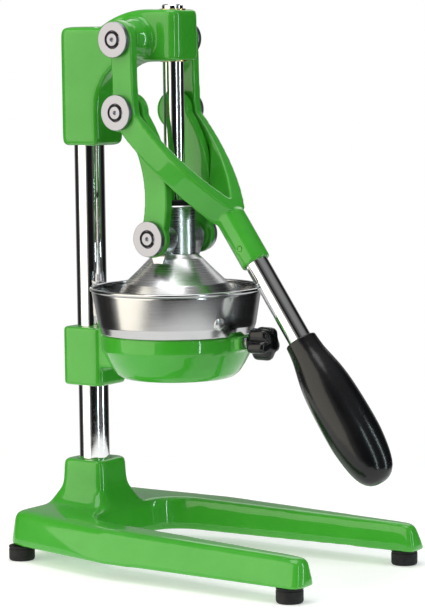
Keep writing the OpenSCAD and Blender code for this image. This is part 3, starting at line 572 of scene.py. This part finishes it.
for node in ("foot_screws", "column_bolt", "column_washer", "head_screws", "support_screws", "rod_nut",
             "clamp_screw"):
    trimmed(node, "plated", ZINC, "zinc_steel", PLATED_EDGE)
trimmed("tube_pin", "set", GREEN, "green_enamel", PLATED_EDGE)
trimmed("ear_pins", "turned", INNER_STEEL, "stainless_sheet", 0.2 * MM)
trimmed("handle_tube", "drawn", CHROME_TUBE, "chrome_plate", PLATED_EDGE)
trimmed("bumper_ring", "moulded", RUBBER, "black_rubber", 0.6 * MM)
trimmed("strainer", "pressed", INNER_STEEL, "stainless_sheet", 0.2 * MM)
trimmed("reamer_cone", "pressed", INNER_STEEL, "stainless_sheet", 0.5 * MM)


# ---- feet ----

def foot(node):
    """A rubber foot with a rolled lower edge, a shallow flex groove and the dish for its screw."""
    c, r, h = middle(node), half_size(node).x, high(node).z
    dish_r, dish, hole_r = 5.5 * MM, 4 * MM, 2.52 * MM
    roll, groove, crease = 0.8 * MM, 0.5 * MM, 0.2 * MM
    outline = [(dish_r, dish, 0), (dish_r, 0, 0.4 * MM), (r - 0.7 * MM, 0, roll), (r, 1.6 * MM, roll),
               (r, h - 2.6 * MM, crease), (r - groove, h - 2.2 * MM, crease),
               (r - groove, h - 1.6 * MM, crease), (r, h - 1.2 * MM, crease), (r, h, 0.3 * MM),
               (hole_r, h, 0), (hole_r, dish, 0), (dish_r, dish, 0)]
    piece = lathe(node + "_moulded", filleted(outline), upright(c.x, c.y, 0), RUBBER, 96)
    stand_in(piece, "black_rubber", node)


for node in ("foot_rear_left", "foot_rear_right", "foot_front_left", "foot_front_right"):
    foot(node)


# ---- bell ----

def at(outline, z):
    """An outline of (radius, height, fillet) in millimetres, in metres and moved up by z."""
    return [(r * MM, h * MM + z, f * MM) for r, h, f in outline]


def solid(name, outline, matrix, segments=64):
    """A plain turned solid, to cut with or to add."""
    made = lathe(name, outline, matrix, BELL_STEEL, segments)
    made.modifiers.clear()
    return made


def ear_block():
    """A block across the sleeve with a rounded top, for the two ears."""
    c, face, half = middle("ear_pins"), high("ear_pins").x, 11 * MM
    shoulder_z, foot_z, foot_half = c.z - 4 * MM, c.z - 26.5 * MM, 2 * MM
    steps = 24
    outline = [(-half, shoulder_z), (-foot_half, foot_z), (foot_half, foot_z), (half, shoulder_z)]
    outline += [(half * math.cos(math.pi * i / steps), c.z + half * math.sin(math.pi * i / steps))
                for i in range(steps + 1)]
    mesh = bmesh.new()
    near = [mesh.verts.new((-face, c.y + y, z)) for y, z in outline]
    far = [mesh.verts.new((face, c.y + y, z)) for y, z in outline]
    mesh.faces.new(near)
    mesh.faces.new(far[::-1])
    for i in range(len(near)):
        j = (i + 1) % len(near)
        mesh.faces.new((near[j], near[i], far[i], far[j]))
    bmesh.ops.recalc_face_normals(mesh, faces=mesh.faces)
    return finished("ears", mesh, BELL_STEEL)


def bell():
    """A turned bell: mouth, skirt and cone under a straight sleeve with two ears for the links."""
    z = low("press_bell").z
    sleeve = (high("press_bell").z - z) / MM
    running, backing = 0.05, 2.5  # clearance round rod and pins, and the metal left between them
    bore = half_size("guide_rod").x / MM + running
    # radius, height above the mouth and fillet, in millimetres
    outside = [(0, sleeve, 0), (15.5, sleeve, 0.6), (16.5, sleeve - 1, 0.6), (16.5, 57.8, 2),
               (21.3, 54.2, 6), (31.4, 44, 12), (41.6, 34.4, 5), (46.2, 27.4, 6), (50.4, 20.5, 8),
               (52.8, 12.4, 8), (54, 6, 3), (54, 0, 0), (0, 0, 0)]
    inside = [(0, sleeve + 1, 0), (bore, sleeve + 1, 0), (bore, 50, 0), (17, 50, 3), (36.6, 30.5, 4),
              (42.4, 25.8, 6), (47.2, 19.7, 8), (49.8, 12, 8), (51, 6, 3), (51, -1, 0), (0, -1, 0)]
    centre, segments = upright(RAM.x, RAM.y, 0), 160 if FINE else 96
    made = solid("press_bell_turned", filleted(at(outside, z), 6), centre, segments)
    combine(made, ear_block(), "UNION")
    combine(made, solid("cavity", filleted(at(inside, z), 6), centre, segments), "DIFFERENCE")
    pins = middle("ear_pins")
    hole, reach = half_size("ear_pins").z + running * MM, high("ear_pins").x
    start = half_size("guide_rod").x + backing * MM
    for side in (-1, 1):
        outline = [(0, start), (hole, start), (hole, reach + MM), (0, reach + MM)]
        combine(made, solid("drill", outline, sideways(side, 0, pins.y, pins.z)), "DIFFERENCE")
    break_edges(made, 0.5 * MM, 42)
    stand_in(made, "stainless_sheet", "press_bell")


bell()


# ---- bowl ----

def bowl():
    """A pressed sheet bowl: rolled rim, sloping wall, seat on the ring, sump and spout."""
    z, bead, sheet = high("bowl").z, 1.6, 1.2
    wall_foot_r, wall_rise = 62, 0.48  # past this radius the wall is steep, and its inside rises by less
    rim_r = half_size("bowl").x / MM - 1.4
    spout = (low("bowl").z - z) / MM
    # radius, height from the rim's top and fillet, in millimetres
    rim = [(rim_r - 0.2 + bead * math.cos(a), -1.9 + bead * math.sin(a), 0)
           for a in (math.radians(20 * i) for i in range(11, -9, -1))]
    outside = [(rim_r - 0.4, -4.5, 2), (64.8, -31, 9), (62.4, -38.3, 2), (57.9, -38.3, 0.8),
               (57.9, -50.3, 4), (48.9, -59.3, 6), (19, -63.3, 4), (15, -66.3, 2), (15, spout, 0)]
    inside = [(r - sheet, h + (sheet if r < wall_foot_r else wall_rise), max(0, f - 0.5))
              for r, h, f in outside[:-1]]
    outline = [*rim, *outside, (15 - sheet, spout, 0), *inside[::-1], (rim_r - sheet, -3.5, 1), rim[0]]
    piece = lathe("bowl_pressed", filleted(at(outline, z), 4), upright(RAM.x, RAM.y, 0), BOWL_STEEL,
                  192 if FINE else 96)
    stand_in(piece, "stainless_sheet", "bowl")


bowl()


def rivet():
    """A round-headed stud on a thin flange, square to the bowl's sloping wall."""
    c, wall_lean, flange_depth = middle("bowl_rivet"), math.radians(7.3), 1.1 * MM
    level = Vector((c.x - RAM.x, c.y - RAM.y, 0)).normalized()
    out = level * math.cos(wall_lean) - Vector((0, 0, math.sin(wall_lean)))
    base = c - out * flange_depth
    turn = out.to_track_quat("Z", "Y").to_matrix().to_4x4()
    # radius, height above the wall and fillet, in millimetres
    outline = [(0, -0.3, 0), (6.2, -0.3, 0), (6.2, 0.2, 0.2), (4.9, 0.5, 0.2), (4.7, 0.9, 0.3),
               (4.5, 1.4, 0.6), (3.4, 2.0, 1.2), (1.8, 2.3, 1.0), (0, 2.35, 0)]
    matrix = Matrix.Translation(base) @ turn
    piece = lathe("bowl_rivet_set", filleted(at(outline, 0), 4), matrix, BELL_STEEL, 64)
    stand_in(piece, "stainless_sheet", "bowl_rivet")


rivet()


# ---- handle grip ----

HANDLE_LEAN = math.radians(34.8)  # from straight down, towards the front
HANDLE = Vector((0, -math.sin(HANDLE_LEAN), -math.cos(HANDLE_LEAN)))


def handle_frame():
    """Places a shape drawn about +Z along the handle, from the grip's neck towards its end."""
    centre = middle("handle_tube")
    corners = [v.co.dot(HANDLE) for v in NODES["handle_grip"].data.vertices]
    start = centre + HANDLE * (min(corners) - centre.dot(HANDLE))
    return Matrix.Translation(start) @ Matrix.Rotation(math.pi - HANDLE_LEAN, 4, "X")


def grip():
    """A moulded grip: a collar at the neck, a smooth swell, a rounded end and a raised seam on each side."""
    # radius and distance from the neck, in millimetres, from the bore round to the end
    profile = [(9.55, 90), (9.55, 0), (12.4, 0), (12.9, 0.5), (13.0, 1.6), (13.1, 4), (13.5, 7.9),
               (14.3, 14.2), (15.8, 20.5), (17.2, 26.8), (18.5, 33), (19.4, 39.4), (20.0, 45), (20.5, 52),
               (20.9, 60), (21.2, 69), (21.3, 77), (21.3, 83.5), (21.15, 90), (20.6, 96), (19.9, 102),
               (18.85, 108.7), (17.4, 115), (15.6, 120.2), (13.2, 124.3), (10.2, 127.3), (6.6, 129.2),
               (3.2, 129.9), (0, 130)]
    smooth = profile[:3]
    # two points on each stretch cut its corners, so that the swell has no facets
    for p, q in zip(profile[2:], profile[3:]):
        smooth.append(((2 * p[0] + q[0]) / 3, (2 * p[1] + q[1]) / 3))
        smooth.append(((p[0] + 2 * q[0]) / 3, (p[1] + 2 * q[1]) / 3))
    smooth.append(profile[-1])
    seam_h, seam_half_angle = 0.12 * MM, 0.02
    seam_start, seam_least_r = 3 * MM, 10 * MM

    def reach(angle, r, z):
        side = abs(math.remainder(angle - math.pi / 2, math.pi))
        if z <= seam_start or r <= seam_least_r:
            return r
        return r + seam_h * max(0.0, 1 - (side / seam_half_angle) ** 2)

    outline = [(r * MM, z * MM) for r, z in smooth]
    piece = lathe("handle_grip_moulded", outline, handle_frame(), GRIP_BLACK, 256 if FINE else 96, reach)
    stand_in(piece, "black_plastic", "handle_grip")


grip()


# ---- clamp knob ----

def knob():
    """A moulded hand knob with five full lobes, rounded over at both faces."""
    c, back = middle("clamp_knob"), high("clamp_knob").y
    length = (back - low("clamp_knob").y) / MM
    lobes, lobe_depth, hub_r, blend = 5, 0.30, 7.6 * MM, 3 * MM
    # radius and distance from the knob's back, in millimetres
    outline = [(4.1, 14), (4.1, 0), (6.8, 0), (7.4, 0.6), (7.6, 3.2), (9.5, 3.9), (12.4, 4.3), (13.5, 5.2),
               (14, 7), (14, length - 7), (13.6, length - 5), (12.6, length - 3.4), (10.8, length - 2.4),
               (8.2, length - 1.4), (5.4, length - 0.5), (2.6, length - 0.1), (0, length)]

    def reach(angle, radius, _height):
        wave = 0.5 + 0.5 * math.cos(lobes * (angle + math.pi / 2))
        depth = lobe_depth * max(0.0, min(1.0, (radius - hub_r) / blend))
        return radius * (1 - depth * (1 - wave ** 0.55))

    turn = Matrix.Rotation(math.pi / 2, 4, "X")
    piece = lathe("clamp_knob_moulded", [(r * MM, z * MM) for r, z in outline],
                  Matrix.Translation((c.x, back, c.z)) @ turn, KNOB_BLACK, 200 if FINE else 80, reach)
    stand_in(piece, "black_plastic", "clamp_knob")


knob()


# ---- camera ----

# the camera stands round to the left of the front, a little above level and almost upright
AZIMUTH, PITCH, ROLL = (math.radians(a) for a in (-54.25, 6.078, -0.736))
CAMERA_DISTANCE = 2.0918
AIM = RAM + Vector((17.1, -23.7, 211.6)) * MM
LENS, SENSOR = 151.71, 36.0  # millimetres


def facing(azimuth, lift):
    """The direction out from the press at an azimuth, from -Y towards +X, and a lift above level."""
    return Vector((math.sin(azimuth) * math.cos(lift), -math.cos(azimuth) * math.cos(lift), math.sin(lift)))


def make_camera():
    """A camera that looks at AIM, turned a little about its own axis."""
    back = facing(AZIMUTH, PITCH)
    level = Vector((math.cos(AZIMUTH), math.sin(AZIMUTH), 0))
    right = level * math.cos(ROLL) + back.cross(level) * math.sin(ROLL)
    data = bpy.data.cameras.new("camera")
    data.lens, data.sensor_width = LENS, SENSOR
    data.clip_start, data.clip_end = 0.05, 50
    obj = bpy.data.objects.new("camera", data)
    turn = Matrix((right, back.cross(right), back)).transposed().to_4x4()
    obj.matrix_world = Matrix.Translation(AIM + back * CAMERA_DISTANCE) @ turn
    bpy.context.scene.collection.objects.link(obj)
    bpy.context.scene.camera = obj


make_camera()


# ---- light and floor ----

WARM, COOL = (1.0, 0.94, 0.78), (0.8, 0.98, 1.0)
LIT_POINT = RAM + Vector((0, 0, 0.23))  # the middle of the press, which every light faces


def softbox(name, turn, lift, distance, width, height, power, tint=(1, 1, 1)):
    """A soft rectangular light. Its turn from the camera, positive to the picture's right, and its lift
    above level are in degrees, and its power is in watts."""
    out = facing(AZIMUTH + math.radians(turn), math.radians(lift))
    data = bpy.data.lights.new(name, "AREA")
    data.shape = "RECTANGLE"
    data.size, data.size_y = width, height
    data.energy = power
    data.color = tint
    obj = bpy.data.objects.new(name, data)
    obj.location = LIT_POINT + out * distance
    obj.rotation_mode = "QUATERNION"
    obj.rotation_quaternion = out.to_track_quat("Z", "Y")
    obj.visible_camera = False
    bpy.context.scene.collection.objects.link(obj)


softbox("key", -62, 12, 1.7, 2.0, 2.4, 27, WARM)
softbox("near_strip", 34, 8, 1.6, 0.07, 1.5, 4.5, COOL)
softbox("far_strip", 80, 8, 1.6, 0.09, 1.5, 5.5, COOL)
softbox("top", -20, 80, 1.5, 1.2, 1.2, 13)
softbox("rear", 165, 35, 1.8, 1.2, 1.0, 4)

BACKDROP, OVERHEAD = 1.0, 0.4  # brightness behind the press, and of the ceiling
CEILING_STARTS, CEILING_FULL = 0.55, 0.95  # as the height of a direction one metre long
# how bright the studio is round the press: the turn from the camera in degrees, and the brightness
STUDIO = [(-180, 0.30), (-150, 0.30), (-138, 0.03), (-104, 0.02), (-92, 0.35), (-26, 0.32), (-17, 0.01),
          (16, 0.01), (26, 0.10), (92, 0.08), (102, 0.01), (142, 0.01), (152, 0.30), (180, 0.30)]


def grey(value):
    """A colour without a tint."""
    return (value, value, value)


def round_the_press(world, x, y):
    """The studio's brightness in a direction, by its turn from the camera."""
    angle = math_node(world, "ARCTAN2", x, math_node(world, "MULTIPLY", y, -1))
    ramp = add(world, "ShaderNodeValToRGB")
    stops = ramp.color_ramp.elements
    stops.remove(stops[1])
    stops[0].position = 0
    for turn, value in STUDIO:
        share = (turn + 180) / 360
        stop = stops.new(share) if share else stops[0]
        stop.color = (*grey(value), 1)
    link(world, span(world, angle, 0, 1, -math.pi, math.pi), ramp.inputs[0])
    return ramp.outputs[0]


def make_world():
    """A pale backdrop to the camera; to the press, a studio with lit and dark sides."""
    world = bpy.data.worlds.new("studio")
    bpy.context.scene.world = world
    world.use_nodes = True
    turned_round = add(world, "ShaderNodeVectorRotate", angle=-AZIMUTH)
    turned_round.rotation_type = "Z_AXIS"
    link(world, add(world, "ShaderNodeTexCoord").outputs["Generated"], turned_round.inputs["Vector"])
    split = add(world, "ShaderNodeSeparateXYZ")
    link(world, turned_round.outputs[0], split.inputs[0])
    x, y, z = split.outputs
    ceiling = span(world, z, 0, 1, CEILING_STARTS, CEILING_FULL)
    studio = world.node_tree.nodes["Background"]
    link(world, mix(world, ceiling, round_the_press(world, x, y), grey(OVERHEAD)), studio.inputs["Color"])
    studio.inputs["Strength"].default_value = 1.0
    plain = add(world, "ShaderNodeBackground", color=(*grey(BACKDROP), 1))
    both = add(world, "ShaderNodeMixShader")
    seen = add(world, "ShaderNodeLightPath").outputs["Is Camera Ray"]
    for source, socket in zip((seen, studio.outputs[0], plain.outputs[0]), both.inputs):
        link(world, source, socket)
    link(world, both.outputs[0], world.node_tree.nodes["World Output"].inputs["Surface"])


make_world()

FLOOR_RADIUS, FLOOR_DROP, FLOOR_GLOW = 0.5, 0.2 * MM, 0.40


def make_floor():
    """A pale floor that glows a little, so that it stays near white round the press."""
    bpy.ops.mesh.primitive_circle_add(vertices=96, radius=FLOOR_RADIUS, fill_type="NGON",
                                      location=(0, 0, -FLOOR_DROP))
    obj = bpy.context.object
    obj.name = "floor"
    made = shader("floor_paper", grey(0.8), roughness=0.9, emission_color=(*grey(1), 1),
                  emission_strength=FLOOR_GLOW)
    obj.data.materials.append(made)


make_floor()
bpy.context.scene.view_settings.view_transform = "Standard"
